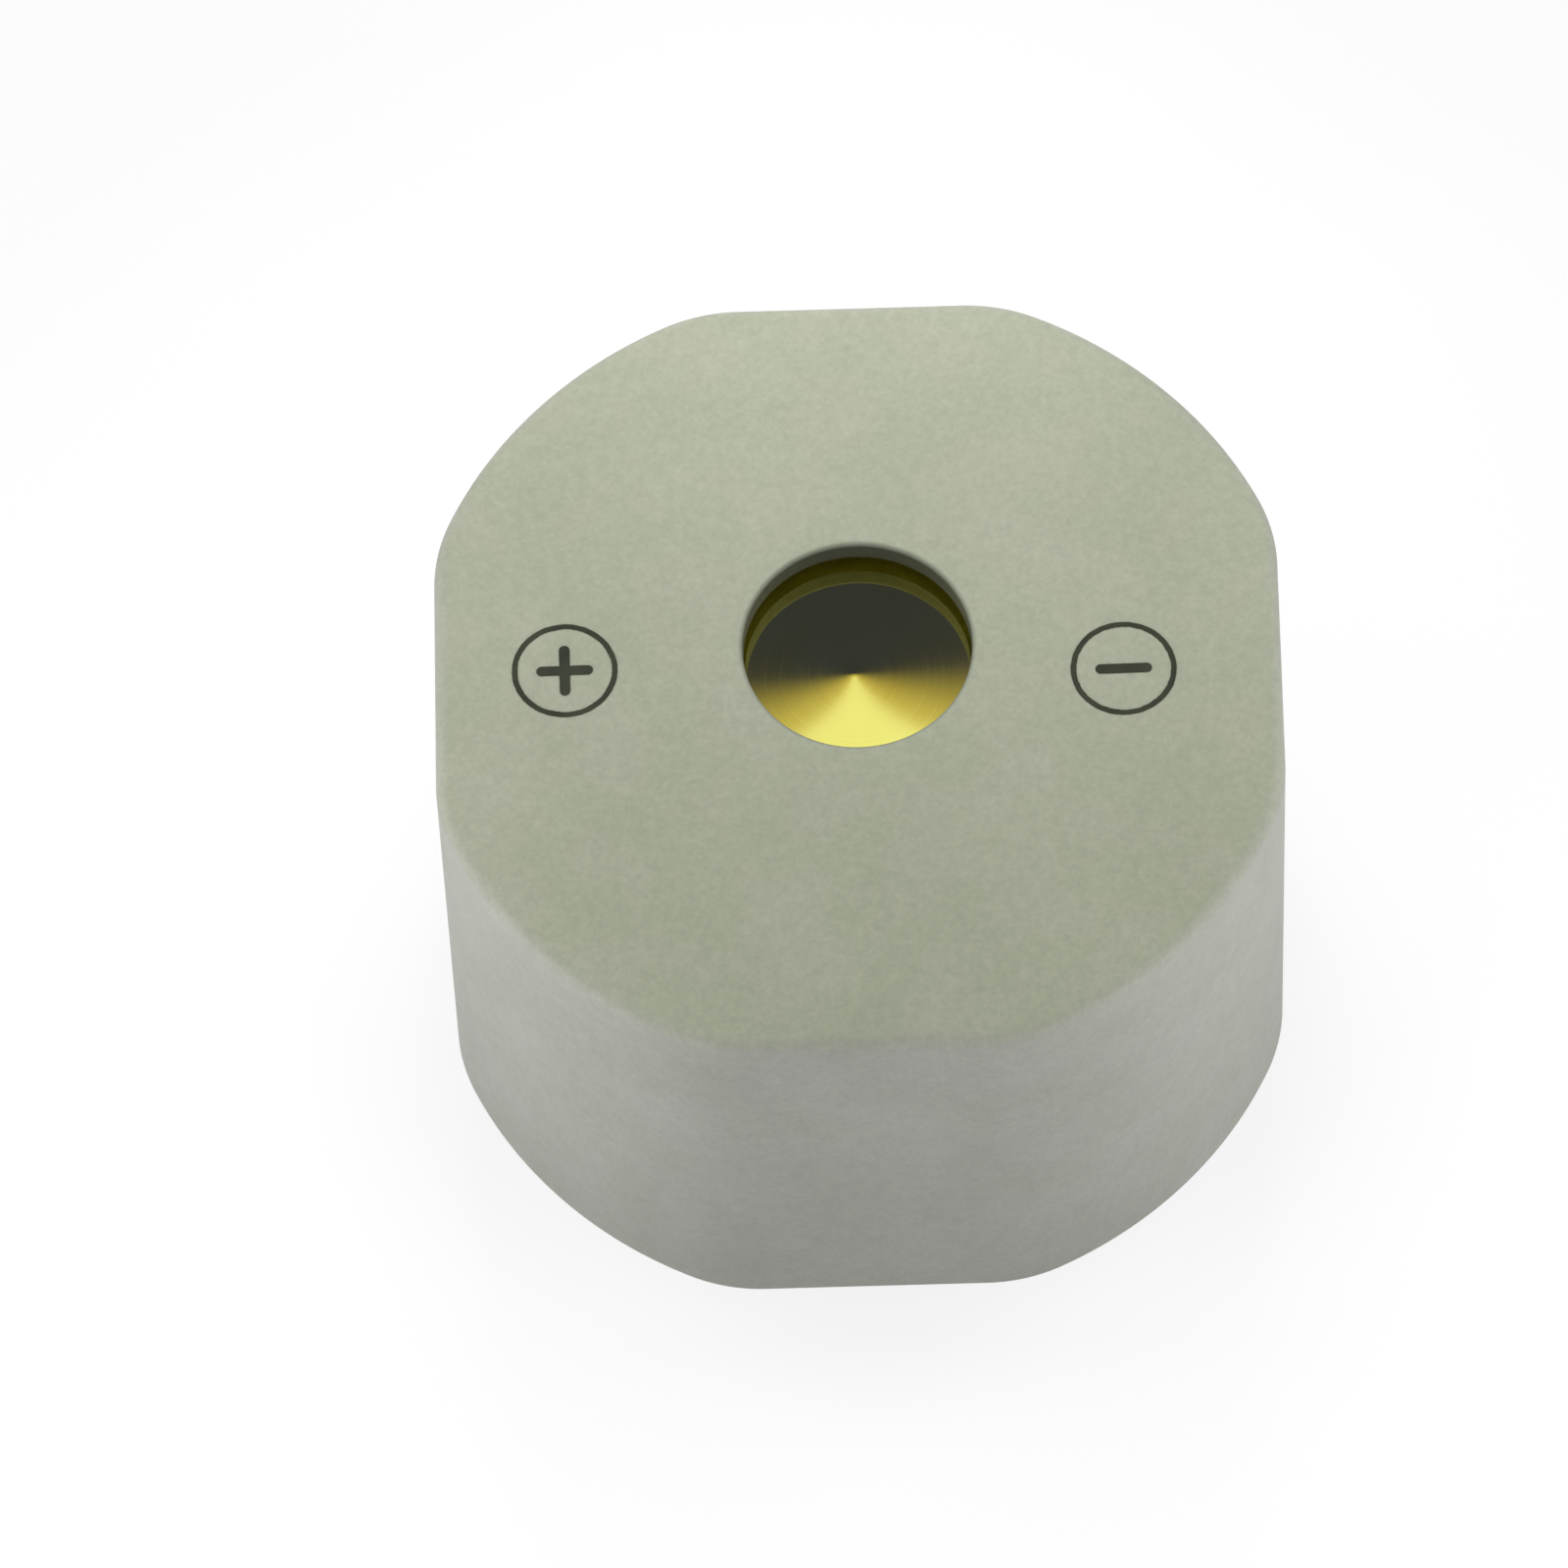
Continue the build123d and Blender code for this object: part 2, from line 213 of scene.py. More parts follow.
def eighth_steps(round_radius, half_width, blend, counts=(10, 12, 14)):
    """Angles round the four-flat outline, with a step at each place where a flat, blend and round meet."""
    inner = round_radius - blend
    side = sqrt(inner ** 2 - (half_width - blend) ** 2)
    stops = (0.0, atan2(side, half_width), atan2(side, half_width - blend), pi / 4)
    eighth = np.concatenate([
        np.linspace(low, high, count, endpoint=False)
        for low, high, count in zip(stops, stops[1:], counts)
    ])
    quarter = np.concatenate([eighth, [pi / 4], pi / 2 - eighth[:0:-1]])
    return np.concatenate([quarter + turn * pi / 2 for turn in range(4)])


def four_flat_radius(angle, round_radius, half_width, blend):
    """Distance from the axis to a circle that four flats cut, with blended corners, at an angle: the
    flat's half width over the cosine, then the blend arc, then the circle, mirrored in every eighth."""
    fold = np.abs((angle + pi / 4) % (pi / 2) - pi / 4)
    inner = round_radius - blend
    side = sqrt(inner ** 2 - (half_width - blend) ** 2)
    middle = atan2(side, half_width - blend)
    arc = inner * np.cos(fold - middle)
    arc = arc + np.sqrt(np.maximum(blend ** 2 - (inner * np.sin(fold - middle)) ** 2, 0))
    flat = half_width / np.cos(fold)
    return np.where(fold < atan2(side, half_width), flat, np.where(fold < middle, arc, round_radius))


def ring(angle, radius, level, centre_y=0.0):
    """Closed ring of points at one level: radius, which may change with the angle, round a centre."""
    level = np.broadcast_to(level, angle.shape)
    return np.stack([radius * np.cos(angle), centre_y + radius * np.sin(angle), level], axis=-1)


def between(start, end, shares):
    """Rings that go straight from one ring to another, at the given shares of the way."""
    shares = shares[:, None, None]
    return start * (1 - shares) + end * shares


def housing_surface():
    """One closed skin of the moulded cup. Rings run from the port's edge over the top, down the outside,
    round the rim, up the recess and the stepped bore, under the top and back up the port's wall. Each edge is
    a quarter circle. Two values go with the rings: one from the side's tone to the top's, which paints the
    tint and brightness of the light that falls on the top, and one from the outside's tone to the inside's,
    which paints shade into the hollow and the port's wall."""
    angle = eighth_steps(*body_outline)
    recess_angle = eighth_steps(*recess_outline)

    def outside(inset, level):
        """Ring of the body's outline, moved inwards."""
        return ring(angle, four_flat_radius(angle, *body_outline) - inset, level)

    def inside(level):
        """Ring of the recess's outline."""
        return ring(recess_angle, four_flat_radius(recess_angle, *recess_outline), level)

    def port(radius, level):
        """Ring round the port's axis."""
        return ring(angle, radius, level, port_shift)

    lip = [
        port(port_radius + port_round * (1 - run), body_height - port_round * (1 - rise))
        for rise, run in zip(*quarter_turn(7))
    ]
    shoulder = [
        outside(edge_round * (1 - rise), body_height - edge_round * (1 - run))
        for rise, run in zip(*quarter_turn(9))
    ]
    rim = [outside(rim_round * (1 - run), rim_round * (1 - rise)) for rise, run in zip(*quarter_turn(7))]
    top = between(lip[-1], outside(edge_round, body_height), top_shares)
    wall = between(shoulder[-1], outside(0, rim_round), wall_shares)
    recess = [inside(level) for level in (0.0, shoulder_level)]
    bore = [ring(angle, bore_radius, level) for level in (shoulder_level, seat_level)]
    cavity = [ring(angle, cavity_radius, level) for level in (seat_level, cavity_top)]
    cavity.append(port(port_radius + port_step, cavity_top))
    throat_levels = np.linspace(cavity_top, body_height - port_round, 5)[:-1]
    throat = [port(port_radius, level) for level in throat_levels]
    # Rings, share of the painted light on the top, share of the painted shade inside
    parts = [
        (lip, 1.0, np.linspace(1, 0, len(lip)) ** lip_shade_fade),
        (top, 1.0, 0.0),
        (shoulder, np.linspace(1, 0, len(shoulder)), 0.0),
        (wall, 0.0, 0.0),
        (rim, 0.0, 0.0),
        (recess, 0.0, hollow_painted_shade),
        (bore, 0.0, hollow_painted_shade),
        (cavity, 0.0, hollow_painted_shade),
        (throat, 1.0, 1.0),
    ]
    grid = np.concatenate([np.asarray(part[0]) for part in parts])
    made = surface("housing_shell", grid, wrap_rows=True)
    for column, name in ((1, "painted_top_light"), (2, "painted_inside_shade")):
        values = np.concatenate([np.broadcast_to(part[column], len(part[0])) for part in parts])
        shade = made.data.attributes.new(name, "FLOAT", "POINT")
        shade.data.foreach_set("value", np.repeat(values, grid.shape[1]).astype(np.float32))
    return made


def brass_surface():
    """Brass disc as rings round its axis: flat faces, a small round edge, and a shallow cone on the upper
    face. The cone falls in a straight line from its tip, and the tip lies a little off the axis: each ring
    moves towards it by the tip's place times one less its share of the cone's foot radius."""
    radius, low, high = brass_high[0], brass_low[2], seat_level
    turn = np.linspace(-pi / 2, pi / 2, 7)
    rim_r = radius - brass_edge + brass_edge * np.cos(turn)
    half_side = (high - low) / 2 - brass_edge
    rim_z = (low + high) / 2 + np.sign(turn) * half_side + brass_edge * np.sin(turn)
    below_r = brass_below_shares * (radius - brass_edge)
    cone_r = np.linspace(cone_foot, cone_tip_ring, cone_rings)
    above_r = np.concatenate([[radius - 2 * brass_edge, *brass_flat_radii], cone_r])
    climb = 1 - np.minimum(above_r / cone_foot, 1)
    profile_r = np.concatenate([below_r, rim_r, above_r])
    profile_z = np.concatenate([np.full(len(below_r), low), rim_z, high + cone_rise * climb])
    angle = full_turn(brass_columns)
    grid = np.asarray([ring(angle, r, z) for r, z in zip(profile_r, profile_z)])
    grid[-len(climb):, :, :2] += climb[:, None, None] * np.array(tip_place)
    return surface("brass_disc", grid)


def pin_surface(node):
    """Pin as a section of (radius, level) points, carried round the pin's axis: round tip, leg, a small
    fillet up to the thicker root, and a blunt end."""
    low, high = (corner[2] for corner in pin_spans[node])
    rise, run = quarter_turn(8)
    stretches = [
        ([pin_pole], [low]),
        (pin_radius - pin_tip_round + pin_tip_round * rise, low + pin_tip_round * (1 - run)),
        (np.full(leg_rings, pin_radius), np.linspace(low + leg_ends[0], -leg_ends[1], leg_rings)),
        (root_radius - (root_radius - pin_radius) * run * fillet_share, fillet_height * (rise - 1)),
        (np.full(root_rings, root_radius), np.linspace(root_ends[0], high - root_ends[1], root_rings)),
        ([root_radius - pin_end_chamfer, pin_pole], [high, high]),
    ]
    section = np.concatenate([np.stack(stretch, axis=-1) for stretch in stretches])
    angle = full_turn(pin_columns)
    grid = np.asarray([ring(angle, r, z) for r, z in section])
    grid[..., 0] += pin_places[node]
    return surface(f"{node}_metal", grid)


def resin_surface():
    """Poured resin: the recess outline, flat against the board. The free face is flat with slow waves, two
    sines across it, and climbs the wall and the pins towards the open end by a height that dies away as the
    exponential of the distance."""
    angle = eighth_steps(*recess_outline, counts=resin_steps)
    edge = four_flat_radius(angle, *recess_outline)
    face = np.asarray([ring(angle, edge * share, resin_low[2]) for share in resin_face_shares])
    x, y = face[..., 0], face[..., 1]
    wall_gap = (1 - resin_face_shares)[:, None] * edge
    climb = wall_climb * np.exp(-wall_gap / wall_fade)
    for pin_x in pin_places.values():
        pin_gap = np.maximum(np.hypot(x - pin_x, y) - root_radius, 0)
        climb = climb + pin_climb * np.exp(-pin_gap / pin_fade)
    waves = sum(np.sin(run_x * x + run_y * y + phase) for run_x, run_y, phase in wave_runs)
    face[..., 2] += wave_height * waves * np.minimum(wall_gap, 1) - climb
    back = np.asarray([ring(angle, edge * share, resin_high[2]) for share in resin_back_shares])
    return surface("resin_fill", np.concatenate([face, back]))


def winding_surface():
    """Coil on the choke's core: a tube wall whose outer radius swells in half circles, one for each turn. The
    turns climb round the axis, because the phase of the half circles is the level over the pitch plus the
    angle over a full turn."""
    centre_y = (winding_low[1] + winding_high[1]) / 2
    outer, low, high = winding_high[0], winding_low[2], winding_high[2]
    angle = full_turn(winding_columns)
    levels = np.linspace(low, high, rings_per_turn * int((high - low) / wire_pitch))
    phase = (levels[:, None] - low) / wire_pitch + angle[None, :] / (2 * pi)
    swell = np.sqrt(np.maximum(1 - (2 * (phase % 1) - 1) ** 2, 0))
    radii = outer - wire_pitch / 2 * (1 - swell)
    skin = np.asarray([ring(angle, row, level, centre_y) for row, level in zip(radii, levels)])
    core = np.asarray([ring(angle, winding_core, level, centre_y) for level in (high, low)])
    return surface("coil_turns", np.concatenate([skin, core]), wrap_rows=True)


def bead_surface():
    """Silicone bead in the corner between brass and bore: the free side is a straight slope with a shallow
    outward bow, half a sine wave, added to it."""
    low, high = bead_low[2], bead_high[2]
    shares = np.linspace(0, 1, bead_rings)
    bow = bead_bow * np.sin(pi * shares)
    radii = bore_radius - bead_width * (1 - shares) - bow * bead_lean
    levels = np.maximum(high - (high - low) * shares - bow, low)
    angle = full_turn(bead_columns)
    rings = [ring(angle, r, z) for r, z in zip(radii, levels)]
    corner = ring(angle, bore_radius, high)
    return surface("bond_bead", np.asarray([*rings, corner]), wrap_rows=True)


def bar_radius(angle):
    """Distance from the middle of a round-ended bar, lying along the first axis, to its edge: the straight
    side's half width over the sine, or the half circle at the end."""
    straight = bar_half_length - bar_half_width
    across, along = np.abs(np.sin(angle)), np.abs(np.cos(angle))
    side = bar_half_width / np.maximum(across, 1e-6)
    tip = straight * along + np.sqrt(np.maximum(bar_half_width ** 2 - (straight * across) ** 2, 0))
    return np.where(side * along <= straight, side, tip)


def uneven(angle, seed, size):
    """Slow waves along an outline, as ink has: a sum of six sines with fixed phases."""
    orders = np.array([5, 9, 14, 23, 31, 47])
    phases = np.random.default_rng(seed).uniform(0, 2 * pi, len(orders))
    return size * np.sin(np.outer(angle, orders) + phases).mean(axis=1)


def printed_sign(sign, seed):
    """Ink ring and bars as thin closed layers: the ring is a flat band, and the bars are one outline whose
    radius is the larger of the arms' radii at each angle."""
    angle = full_turn(sign_columns, 0.5)
    low, high = body_height - ink_sink, body_height + ink_rise
    outer = sign_ring_radius + uneven(angle, seed, outer_waves)
    inner = outer - sign_stroke + uneven(angle, seed + 1, inner_waves)
    band = [ring(angle, r, z) for r, z in ((outer, low), (outer, high), (inner, high), (inner, low))]
    arms = np.max([bar_radius(angle - turn) for turn in sign_arms[sign]], axis=0)
    arms = arms + uneven(angle, seed + 2, bar_waves)
    bars = [ring(angle, arms, level) for level in (low, high)]
    turn = np.array([[cos(print_turn), sin(print_turn)], [-sin(print_turn), cos(print_turn)]])
    made = []
    for part, rings, closed in (("ring", band, True), ("bars", bars, False)):
        grid = np.asarray(rings)
        grid[..., :2] = grid[..., :2] @ turn + np.array(sign_places[sign])
        made.append(surface(f"{sign}_sign_{part}", grid, wrap_rows=closed))
    return made


# Finishes: helpers and shared groups first


def tone(red, green, blue):
    """Linear colour of a screen colour given in 0 to 255, by the curve that screens use."""
    share = np.array([red, green, blue]) / 255
    linear = np.where(share <= 0.04045, share / 12.92, ((share + 0.055) / 1.055) ** 2.4)
    return (*linear.tolist(), 1.0)


def feed(tree, socket, value):
    """Set a socket to a value, or link another node's output to it."""
    if isinstance(value, bpy.types.NodeSocket):
        tree.links.new(value, socket)
    else:
        socket.default_value = value


def put(tree, kind, *fed, **named):
    """Add a node. Values or other nodes' outputs feed its sockets, the first ones in their order and the
    others by name. Names in lower case are the node's own settings, which come first."""
    made = tree.nodes.new(kind)
    for key, value in named.items():
        if key.islower():
            setattr(made, key, value)
    for socket, value in zip(made.inputs, fed):
        feed(tree, socket, value)
    for key, value in named.items():
        if not key.islower():
            feed(tree, made.inputs[key.replace("_", " ")], value)
    return made


def mixed(tree, share, first, second, blend="MIX"):
    """Colour that goes from the first to the second by a share."""
    made = put(tree, "ShaderNodeMix", data_type="RGBA", blend_type=blend)
    for number, value in ((0, share), (6, first), (7, second)):
        feed(tree, made.inputs[number], value)
    return made.outputs[2]


def spread(tree, value, low, high, start=0.0, end=1.0):
    """A value moved from the range of start to end to the range of low to high."""
    made = put(tree, "ShaderNodeMapRange", Value=value, To_Min=low, To_Max=high, From_Min=start, From_Max=end)
    return made.outputs[0]


def full_contrast(tree, noise):
    """Noise, which keeps near its middle, spread over 0 to 1."""
    return spread(tree, noise, 0, 1, 0.3, 0.7)


def shaded(tree, colour, value, depth):
    """A colour made darker and lighter by a value from 0 to 1, by up to the given share each way."""
    level = spread(tree, value, 1 - depth, 1 + depth)
    grey = put(tree, "ShaderNodeCombineColor", level, level, level)
    return mixed(tree, 1.0, colour, grey.outputs[0], "MULTIPLY")


def object_place(tree):
    """Object coordinates."""
    return put(tree, "ShaderNodeTexCoord").outputs["Object"]


def attribute(tree, name):
    """Node that reads a value or colour that goes with the mesh."""
    return put(tree, "ShaderNodeAttribute", attribute_name=name)


def group(name, inputs, outputs):
    """Empty shader group with named sockets. A number makes an input a value and a triple makes it a vector,
    and the outputs are values. Gives the tree, what comes in and what goes out."""
    tree = bpy.data.node_groups.new(name, "ShaderNodeTree")
    for label, value in inputs.items():
        kind = "NodeSocketFloat" if isinstance(value, float) else "NodeSocketVector"
        tree.interface.new_socket(label, in_out="INPUT", socket_type=kind).default_value = value
    for label in outputs:
        tree.interface.new_socket(label, in_out="OUTPUT", socket_type="NodeSocketFloat")
    return tree, tree.nodes.new("NodeGroupInput").outputs, tree.nodes.new("NodeGroupOutput").inputs


def moulded_skin_group():
    """Skin of a moulding: slow clouds of tone, a fine grain, and a height for the grain."""
    inputs = {"Place": (0.0, 0.0, 0.0), "Grain": 7000.0, "Cloud": 250.0}
    tree, given, made = group("moulded_skin", inputs, ("Grain", "Cloud", "Height"))
    place = given["Place"]
    fine = put(tree, "ShaderNodeTexNoise", Vector=place, Scale=given["Grain"], Detail=3.0).outputs[0]
    slow = put(tree, "ShaderNodeTexNoise", Vector=place, Scale=given["Cloud"], Detail=2.0).outputs[0]
    pits = put(tree, "ShaderNodeTexVoronoi", Vector=place, Scale=given["Grain"]).outputs["Distance"]
    height = put(tree, "ShaderNodeMath", fine, pits, operation="ADD").outputs[0]
    feed(tree, made["Grain"], full_contrast(tree, fine))
    feed(tree, made["Cloud"], full_contrast(tree, slow))
    feed(tree, made["Height"], height)
    return tree


def rolled_lines_group():
    """Lines of rolled or drawn metal: noise that is stretched along one axis of the given place."""
    inputs = {"Place": (0.0, 0.0, 0.0), "Scale": 5000.0, "Stretch": (1.0, 0.04, 1.0)}
    tree, given, made = group("rolled_lines", inputs, ("Lines", "Height"))
    drawn = put(tree, "ShaderNodeVectorMath", given["Place"], given["Stretch"], operation="MULTIPLY")
    lines = put(tree, "ShaderNodeTexNoise", Vector=drawn.outputs[0], Scale=given["Scale"], Detail=4.0)
    feed(tree, made["Lines"], full_contrast(tree, lines.outputs[0]))
    feed(tree, made["Height"], lines.outputs[0])
    return tree


moulded_skin = moulded_skin_group()
rolled_lines = rolled_lines_group()


def skin_of(tree, place, grain, cloud):
    """Outputs of the moulded skin with its own scales."""
    return put(tree, "ShaderNodeGroup", node_tree=moulded_skin, Place=place, Grain=grain, Cloud=cloud).outputs


def lines_of(tree, place, scale, stretch):
    """Outputs of the rolled lines with their own scale and stretch."""
    return put(
        tree, "ShaderNodeGroup", node_tree=rolled_lines, Place=place, Scale=scale, Stretch=stretch,
    ).outputs


def finish_named(name, **constants):
    """New material with one Principled shader, whose plain sockets are set. Gives its tree and shader."""
    material = bpy.data.materials.new(name)
    material.use_nodes = True
    shader = material.node_tree.nodes["Principled BSDF"]
    for key, value in constants.items():
        shader.inputs[key.replace("_", " ")].default_value = value
    return material, material.node_tree, shader


def dress(tree, shader, colour, rough, height=None, depth=0.0):
    """Feed a shader's colour and roughness, and its normal by a bump of the given depth in microns."""
    feed(tree, shader.inputs["Base Color"], colour)
    feed(tree, shader.inputs["Roughness"], rough)
    if height is not None:
        bump = put(tree, "ShaderNodeBump", Height=height, Distance=depth * MICRON, Strength=1.0)
        feed(tree, shader.inputs["Normal"], bump.outputs[0])


def housing_finish():
    """Matte moulding. The outside goes from the side tone to the top tone, a painted tint and brightness of
    the light that falls on the top, each clouded between two near tones, and the inside is darkened towards a
    dark tone by painted shade."""
    material, tree, shader = finish_named("housing_plastic", Specular_IOR_Level=0.25)
    skin = skin_of(tree, object_place(tree), grain=6500.0, cloud=420.0)
    slow = skin_of(tree, object_place(tree), grain=2400.0, cloud=160.0)
    # Painted light: the top tone is the side tone with the greener, brighter tint of the light that falls on
    # the top
    side = mixed(tree, skin["Cloud"], tone(173, 174, 165), tone(178, 179, 171))
    top = mixed(tree, skin["Cloud"], tone(177, 184, 161), tone(183, 186, 166))
    colour = mixed(tree, attribute(tree, "painted_top_light").outputs["Fac"], side, top)
    # Painted shade: the port's wall, the cavity, the bore and the recess go towards a dark tone as if in
    # shade
    colour = mixed(tree, attribute(tree, "painted_inside_shade").outputs["Fac"], colour, tone(58, 61, 64))
    for value, depth in ((slow["Cloud"], 0.03), (slow["Grain"], 0.035), (skin["Grain"], 0.06)):
        colour = shaded(tree, colour, value, depth)
    dress(tree, shader, colour, spread(tree, skin["Grain"], 0.52, 0.66), skin["Height"], depth=5.0)
    return material


def brass_finish():
    """Bright brass: faint clouds of tarnish between two tones, and faint turning rings round the tip, made of
    lines along the distance from it."""
    material, tree, shader = finish_named("brass_disc", Metallic=1.0)
    place = object_place(tree)
    tip = (tip_place[0] * MM, tip_place[1] * MM, brass_high[2] * MM)
    from_tip = put(tree, "ShaderNodeVectorMath", place, tip, operation="SUBTRACT")
    distance = put(tree, "ShaderNodeVectorMath", from_tip.outputs[0], operation="LENGTH")
    along = put(tree, "ShaderNodeCombineXYZ", X=distance.outputs["Value"])
    rings = lines_of(tree, along.outputs[0], scale=9000.0, stretch=(1.0, 1.0, 1.0))
    skin = skin_of(tree, place, grain=3000.0, cloud=420.0)
    colour = mixed(tree, skin["Cloud"], tone(238, 229, 116), tone(246, 242, 132))
    colour = shaded(tree, colour, rings["Lines"], 0.03)
    dress(tree, shader, colour, spread(tree, rings["Lines"], 0.06, 0.08))
    return material


def laminate_finish():
    """Glass-cloth laminate: two sets of threads at right angles, as waves along X and along Y, show faintly
    through a clouded resin colour."""
    material, tree, shader = finish_named("board_laminate")
    place = object_place(tree)
    skin = skin_of(tree, place, grain=5000.0, cloud=300.0)
    waves = [
        put(tree, "ShaderNodeTexWave", bands_direction=direction, Vector=place, Scale=420.0, Distortion=1.2)
        for direction in ("X", "Y")
    ]
    threads = mixed(tree, 0.5, *(wave.outputs["Fac"] for wave in waves))
    colour = mixed(tree, threads, tone(92, 118, 62), tone(128, 148, 88))
    colour = shaded(tree, colour, skin["Cloud"], 0.06)
    dress(tree, shader, colour, spread(tree, skin["Grain"], 0.3, 0.45), threads, depth=6.0)
    return material


def speckled(name, dark, light, grain, cloud, rough, depth, metallic=0.0):
    """Uneven finish between two tones: slow clouds choose the tone, and a fine grain shades it and makes it
    rougher."""
    material, tree, shader = finish_named(name, Metallic=metallic)
    skin = skin_of(tree, object_place(tree), grain, cloud)
    colour = shaded(tree, mixed(tree, skin["Cloud"], tone(*dark), tone(*light)), skin["Grain"], 0.08)
    dress(tree, shader, colour, spread(tree, skin["Grain"], *rough), skin["Height"], depth)
    return material


def lined(name, dark, light, scale, stretch, rough, depth, **constants):
    """Finish with fine lines between two tones: colour, roughness and bump follow the lines."""
    material, tree, shader = finish_named(name, **constants)
    lines = lines_of(tree, object_place(tree), scale, stretch)
    colour = mixed(tree, lines["Lines"], tone(*dark), tone(*light))
    dress(tree, shader, colour, spread(tree, lines["Lines"], *rough), lines["Height"], depth)
    return material


# Uneven finishes: dark tone, light tone, grain, cloud, roughness range, depth, and metallic where it is 1
speckled_rows = {
    "piezo_ceramic": ((206, 198, 172), (216, 209, 186), 9000.0, 500.0, (0.55, 0.75), 6.0),
    "silver_print": ((196, 196, 192), (214, 213, 208), 12000.0, 700.0, (0.38, 0.52), 4.0, 1.0),
    "silicone": ((214, 216, 214), (226, 227, 224), 3000.0, 400.0, (0.28, 0.4), 8.0),
    "ferrite": ((52, 52, 54), (66, 66, 68), 14000.0, 900.0, (0.55, 0.8), 10.0),
    "solder": ((176, 178, 180), (200, 201, 202), 4000.0, 900.0, (0.2, 0.42), 10.0, 1.0),
    "black_epoxy": ((30, 30, 31), (38, 38, 38), 9000.0, 600.0, (0.5, 0.66), 6.0),
    "chip_body": ((26, 28, 34), (36, 38, 44), 9000.0, 800.0, (0.25, 0.4), 3.0),
    "potting": ((38, 39, 40), (50, 51, 51), 2500.0, 260.0, (0.18, 0.34), 10.0),
    "sign_ink": ((44, 47, 34), (58, 61, 46), 5200.0, 1100.0, (0.5, 0.66), 4.0),
}
# Bare metal: dark tone, light tone, scale and stretch of the lines, roughness range, depth
metal_rows = {
    "track_copper": ((186, 112, 74), (214, 138, 96), 5000.0, (1.0, 0.15, 1.0), (0.3, 0.45), 2.0),
    "enamelled_copper": ((156, 78, 40), (186, 100, 54), 8000.0, (0.3, 0.3, 1.0), (0.2, 0.32), 2.0),
    "tinned_metal": ((150, 151, 152), (182, 182, 181), 5000.0, (1.0, 1.0, 0.05), (0.24, 0.38), 2.0),
}
# Wire insulation, with lines along the wire, which runs mostly upright: dark tone, light tone
insulation_rows = {
    "red_insulation": ((168, 28, 24), (188, 38, 32)),
    "white_insulation": ((214, 213, 206), (228, 227, 221)),
    "black_insulation": ((26, 26, 27), (36, 36, 37)),
}
insulation_lines = (6000.0, (1.0, 1.0, 0.05), (0.35, 0.5), 4.0)

finishes = {
    "housing_plastic": housing_finish(),
    "brass_disc": brass_finish(),
    "board_laminate": laminate_finish(),
}
for slot, row in speckled_rows.items():
    finishes[slot] = speckled(slot, *row)
for slot, row in metal_rows.items():
    finishes[slot] = lined(slot, *row, Metallic=1.0)
for slot, row in insulation_rows.items():
    finishes[slot] = lined(slot, *row, *insulation_lines, Specular_IOR_Level=0.4)

# Pieces: every solid gets the finish of its slot, and those that a better surface stands for are replaced

for subpart in frame["record"]["subparts"]:
    solid = frame["nodes"][subpart["node"]]
    solid.data.materials.clear()
    solid.data.materials.append(finishes[subpart["material_slot"]])


def place(piece, material, slot, *nodes):
    """Give a piece its finish, let it ride on the one body, and hide the solids that it stands for."""
    piece.data.materials.append(material)
    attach(piece, "root")
    if nodes:
        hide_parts(*nodes)


def place_new(piece, slot, *nodes):
    """Place a piece that wears the finish of its own slot."""
    place(piece, finishes[slot], slot, *nodes)


place_new(housing_surface(), "housing_plastic", "housing")
place_new(brass_surface(), "brass_disc", "diaphragm")
place_new(resin_surface(), "potting", "potting_resin")
place_new(winding_surface(), "enamelled_copper", "choke_winding")
place_new(bead_surface(), "silicone", "bond_ring")
for node in pin_spans:
    place_new(pin_surface(node), "tinned_metal", node)
for sign, arms in sign_arms.items():
    for mark in printed_sign(sign, seed=len(arms)):
        place(mark, finishes["sign_ink"], "black_epoxy")

# Floor and surroundings

floor_half = 3000.0
floor_paint = (0.3, 0.3, 0.3, 1.0)
floor_glow = (0.76, 1.0)
floor_glow_from, floor_glow_to = 36.0, 85.0
white = (1.0, 1.0, 1.0, 1.0)
black = (0.0, 0.0, 0.0, 1.0)


def seen_or_mirrored(tree):
    """Value that is 1 for rays from the camera, in mirrors and through glass, and 0 for the light itself."""
    rays = put(tree, "ShaderNodeLightPath").outputs
    value = rays["Is Camera Ray"]
    for kind in ("Is Glossy Ray", "Is Transmission Ray"):
        value = put(tree, "ShaderNodeMath", value, rays[kind], operation="MAXIMUM").outputs[0]
    return value


def bare_material(name):
    """New material with no nodes yet, and its tree."""
    material = bpy.data.materials.new(name)
    material.use_nodes = True
    material.node_tree.nodes.clear()
    return material, material.node_tree


def floor_finish():
    """Pale floor that shows as white with the object's shadow on it. To the camera and to mirrors it adds a
    glow to its own shading, which reaches full white where the lamps no longer reach, and to other rays it is
    a plain pale floor."""
    material, tree = bare_material("pale_floor")
    paint = put(tree, "ShaderNodeBsdfDiffuse", Color=floor_paint).outputs[0]
    away = put(tree, "ShaderNodeVectorMath", object_place(tree), operation="LENGTH").outputs["Value"]
    level = spread(tree, away, *floor_glow, floor_glow_from * MM, floor_glow_to * MM)
    glow = put(tree, "ShaderNodeEmission", Color=mixed(tree, level, black, white), Strength=1.0).outputs[0]
    both = put(tree, "ShaderNodeAddShader", paint, glow).outputs[0]
    pick = put(tree, "ShaderNodeMixShader", seen_or_mirrored(tree), paint, both).outputs[0]
    put(tree, "ShaderNodeOutputMaterial", Surface=pick)
    return material


corners = np.array([[-1, -1], [1, -1], [1, 1], [-1, 1]]) * floor_half
floor_mesh = bpy.data.meshes.new("floor")
floor_mesh.from_pydata([(x * MM, y * MM, floor_level * MM) for x, y in corners], [], [(0, 1, 2, 3)])
floor = shown("floor", floor_mesh)
floor.data.materials.append(floor_finish())

